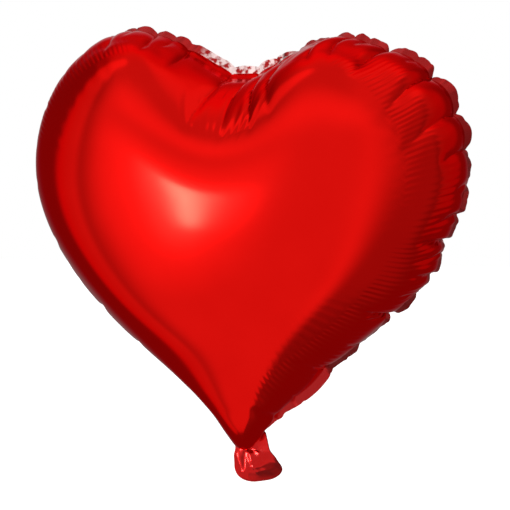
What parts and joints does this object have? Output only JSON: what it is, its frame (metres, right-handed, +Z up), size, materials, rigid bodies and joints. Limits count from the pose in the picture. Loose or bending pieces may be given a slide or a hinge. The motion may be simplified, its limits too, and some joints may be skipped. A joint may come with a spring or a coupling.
{
  "type": "foil balloon",
  "caption": "Inflated heart-shaped foil balloon of two metallised film panels welded at the rim, with a neck, a folding tail and a flat self-sealing valve inside.",
  "frame": {"origin": "middle of the throat, where the heart's point narrows into the neck and a ribbon is tied, in the plane of the seam", "axes": "+Z up from the throat to the lobes, -Y out of the front panel, +X to the right seen from the front"},
  "size_m": [0.389, 0.1946, 0.392],
  "materials": {
    "red_foil": "glossy metallised red film",
    "seal_weld": "pressed weld of two films",
    "valve_film": "clear polyethylene film",
    "release_ink": "thin matt release coat"
  },
  "bodies": {
    "envelope": {"front_panel": "red_foil", "rear_panel": "red_foil", "perimeter_seal": "seal_weld", "valve_neck_front_film": "valve_film", "valve_neck_rear_film": "valve_film", "valve_neck_welds": "valve_film", "valve_release_coat": "release_ink", "valve_front_bond": "seal_weld", "valve_rear_bond": "seal_weld"},
    "valve_sleeve": {"valve_sleeve_front_film": "valve_film", "valve_sleeve_rear_film": "valve_film", "valve_sleeve_welds": "valve_film"},
    "tail": {"tail_front_film": "red_foil", "tail_rear_film": "red_foil", "tail_edge_seal": "seal_weld", "valve_mouth_front_film": "valve_film", "valve_mouth_rear_film": "valve_film", "valve_mouth_welds": "valve_film"}
  },
  "joints": [
    {"name": "tail_fold", "type": "hinge", "parent": "envelope", "child": "tail", "pos_m": [0, 0, -0.0133], "axis": [1, 0, 0], "range_deg": [-110, 110], "stiffness_Nm_per_rad": 0.0004},
    {"name": "valve_sway", "type": "hinge", "parent": "envelope", "child": "valve_sleeve", "pos_m": [0, 0, 0.00525], "axis": [1, 0, 0], "range_deg": [-30, 30], "stiffness_Nm_per_rad": 0.0006}
  ]
}
